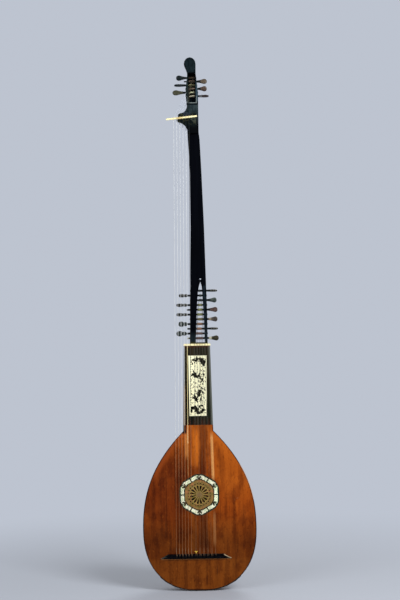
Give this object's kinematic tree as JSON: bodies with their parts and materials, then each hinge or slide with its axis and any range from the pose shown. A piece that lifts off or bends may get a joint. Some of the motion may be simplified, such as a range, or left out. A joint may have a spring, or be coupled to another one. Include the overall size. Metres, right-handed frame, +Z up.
{
  "type": "archlute",
  "caption": "Long-necked plucked lute with a ribbed bowl, carved rose, tied bridge, a long extension with two pegboxes, turning pegs and wound gut strings.",
  "frame": {"origin": "middle of the extension's throat between the upper nut and the upper pegbox, where the instrument hangs", "axes": "+Z up along the instrument from the tail to the finial, -Y out of the soundboard's front, +X to the treble side"},
  "size_m": [0.42, 0.1905, 1.9757],
  "materials": {
    "soundboard_spruce": "aged varnish, satin",
    "rib_wood": "varnished, satin",
    "inner_wood": "bare",
    "ebony": "polished, satin",
    "blackened_wood": "stained black, satin",
    "ivory": "polished, satin",
    "rose_wood": "carved, matt",
    "pearl_inlay": "polished",
    "peg_wood": "turned, satin",
    "gut": "smooth"
  },
  "bodies": {
    "instrument": {"soundboard": "soundboard_spruce", "edge_binding": "ebony", "rose": "rose_wood", "rose_surround": "pearl_inlay", "bridge": "ebony", "end_clasp": "rib_wood", "end_block": "inner_wood", "neck_block": "inner_wood", "neck": "blackened_wood", "fingerboard": "ebony", "fingerboard_plate": "ivory", "nut": "ivory", "head": "blackened_wood", "nut_bracket": "blackened_wood", "upper_nut": "ivory", "rib_01": "rib_wood", "rib_02": "rib_wood", "rib_03": "rib_wood", "rib_04": "rib_wood", "rib_05": "rib_wood", "rib_06": "rib_wood", "rib_07": "rib_wood", "rib_08": "rib_wood", "rib_09": "rib_wood", "rib_10": "rib_wood", "rib_11": "rib_wood", "string_01": "gut", "string_02": "gut", "string_03": "gut", "string_04": "gut", "string_05": "gut", "string_06": "gut", "string_07": "gut", "string_08": "gut", "string_09": "gut", "string_10": "gut", "string_11": "gut", "bass_string_1": "gut", "bass_string_2": "gut", "bass_string_3": "gut", "bass_string_4": "gut", "bass_string_5": "gut", "bass_string_6": "gut"},
    "peg_01": {"peg_01": "peg_wood"},
    "peg_02": {"peg_02": "peg_wood"},
    "peg_03": {"peg_03": "peg_wood"},
    "peg_04": {"peg_04": "peg_wood"},
    "peg_05": {"peg_05": "peg_wood"},
    "peg_06": {"peg_06": "peg_wood"},
    "peg_07": {"peg_07": "peg_wood"},
    "peg_08": {"peg_08": "peg_wood"},
    "peg_09": {"peg_09": "peg_wood"},
    "peg_10": {"peg_10": "peg_wood"},
    "peg_11": {"peg_11": "peg_wood"},
    "bass_peg_1": {"bass_peg_1": "peg_wood"},
    "bass_peg_2": {"bass_peg_2": "peg_wood"},
    "bass_peg_3": {"bass_peg_3": "peg_wood"},
    "bass_peg_4": {"bass_peg_4": "peg_wood"},
    "bass_peg_5": {"bass_peg_5": "peg_wood"},
    "bass_peg_6": {"bass_peg_6": "peg_wood"}
  },
  "joints": [
    {"name": "peg_01_turn", "type": "hinge", "parent": "instrument", "child": "peg_01", "pos_m": [0.0078, 0.001, -0.8498], "axis": [1, 0, 0], "continuous": true},
    {"name": "peg_02_turn", "type": "hinge", "parent": "instrument", "child": "peg_02", "pos_m": [0.0078, 0.001, -0.8322], "axis": [1, 0, 0], "continuous": true},
    {"name": "peg_03_turn", "type": "hinge", "parent": "instrument", "child": "peg_03", "pos_m": [0.0078, 0.001, -0.8146], "axis": [1, 0, 0], "continuous": true},
    {"name": "peg_04_turn", "type": "hinge", "parent": "instrument", "child": "peg_04", "pos_m": [0.0078, 0.001, -0.797], "axis": [1, 0, 0], "continuous": true},
    {"name": "peg_05_turn", "type": "hinge", "parent": "instrument", "child": "peg_05", "pos_m": [0.0078, 0.001, -0.7794], "axis": [1, 0, 0], "continuous": true},
    {"name": "peg_06_turn", "type": "hinge", "parent": "instrument", "child": "peg_06", "pos_m": [0.0078, 0.001, -0.7618], "axis": [1, 0, 0], "continuous": true},
    {"name": "peg_07_turn", "type": "hinge", "parent": "instrument", "child": "peg_07", "pos_m": [0.0078, 0.001, -0.7442], "axis": [1, 0, 0], "continuous": true},
    {"name": "peg_08_turn", "type": "hinge", "parent": "instrument", "child": "peg_08", "pos_m": [0.0078, 0.001, -0.7266], "axis": [1, 0, 0], "continuous": true},
    {"name": "peg_09_turn", "type": "hinge", "parent": "instrument", "child": "peg_09", "pos_m": [0.0078, 0.001, -0.709], "axis": [1, 0, 0], "continuous": true},
    {"name": "peg_10_turn", "type": "hinge", "parent": "instrument", "child": "peg_10", "pos_m": [0.0078, 0.001, -0.6914], "axis": [1, 0, 0], "continuous": true},
    {"name": "peg_11_turn", "type": "hinge", "parent": "instrument", "child": "peg_11", "pos_m": [0.0078, 0.001, -0.6738], "axis": [1, 0, 0], "continuous": true},
    {"name": "bass_peg_1_turn", "type": "hinge", "parent": "instrument", "child": "bass_peg_1", "pos_m": [-0.004, 0, 0.0483], "axis": [1, 0, 0], "continuous": true},
    {"name": "bass_peg_2_turn", "type": "hinge", "parent": "instrument", "child": "bass_peg_2", "pos_m": [-0.004, 0, 0.0619], "axis": [1, 0, 0], "continuous": true},
    {"name": "bass_peg_3_turn", "type": "hinge", "parent": "instrument", "child": "bass_peg_3", "pos_m": [-0.004, 0, 0.0755], "axis": [1, 0, 0], "continuous": true},
    {"name": "bass_peg_4_turn", "type": "hinge", "parent": "instrument", "child": "bass_peg_4", "pos_m": [-0.004, 0, 0.0891], "axis": [1, 0, 0], "continuous": true},
    {"name": "bass_peg_5_turn", "type": "hinge", "parent": "instrument", "child": "bass_peg_5", "pos_m": [-0.004, 0, 0.1027], "axis": [1, 0, 0], "continuous": true},
    {"name": "bass_peg_6_turn", "type": "hinge", "parent": "instrument", "child": "bass_peg_6", "pos_m": [-0.004, 0, 0.1163], "axis": [1, 0, 0], "continuous": true}
  ]
}
